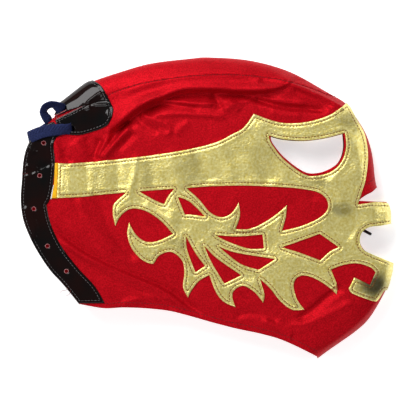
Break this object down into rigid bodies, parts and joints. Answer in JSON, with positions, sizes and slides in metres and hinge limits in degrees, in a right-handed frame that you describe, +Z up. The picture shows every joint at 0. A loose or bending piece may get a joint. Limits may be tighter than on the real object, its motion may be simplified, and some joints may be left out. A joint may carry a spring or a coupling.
{
  "type": "wrestling mask",
  "caption": "Full-head fabric mask lying flat on its left cheek, with vinyl applique, open eyes, nose and mouth, and a laced open back.",
  "frame": {"origin": "under the middle of the flattened hood, on the surface that it lies on, the lace left out", "axes": "+X the way the face looks, +Y towards the crown, +Z up, which is the wearer's right side"},
  "size_m": [0.2973, 0.2406, 0.0361],
  "materials": {
    "red_satin": "stretch satin with a soft sheen",
    "red_lining": "matt knit",
    "gold_vinyl": "crinkled metallic pale gold vinyl",
    "yellow_vinyl": "semi-gloss yellow vinyl",
    "black_patent": "glossy black patent",
    "navy_lace": "flat woven lace, matt",
    "black_aglet": "glossy black"
  },
  "bodies": {
    "hood": {"right_side_panel": "red_satin", "left_side_panel": "red_satin", "right_side_lining": "red_lining", "left_side_lining": "red_lining", "right_gold_applique": "gold_vinyl", "left_gold_applique": "gold_vinyl", "right_band_end_strip": "yellow_vinyl", "left_band_end_strip": "yellow_vinyl", "right_upper_eyelet_facing": "black_patent", "left_upper_eyelet_facing": "black_patent", "slit_end_patch": "black_patent", "lace_run": "navy_lace", "lace_hank": "navy_lace", "front_aglet": "black_aglet", "rear_aglet": "black_aglet"},
    "right_back_flap": {"right_back_panel": "red_satin", "right_back_lining": "red_lining", "right_lower_eyelet_facing": "black_patent"},
    "left_back_flap": {"left_back_panel": "red_satin", "left_back_lining": "red_lining", "left_lower_eyelet_facing": "black_patent"}
  },
  "joints": [
    {"name": "right_back_fold", "type": "hinge", "parent": "hood", "child": "right_back_flap", "pos_m": [-0.1465, 0.041, 0.02946], "axis": [-0.4909, 0.8711, -0.0164], "range_deg": [0, 75], "stiffness_Nm_per_rad": 0.03},
    {"name": "left_back_fold", "type": "hinge", "parent": "hood", "child": "left_back_flap", "pos_m": [-0.1465, 0.041, 0.01134], "axis": [0.491, -0.8712, 0], "range_deg": [0, 36], "stiffness_Nm_per_rad": 0.03}
  ]
}
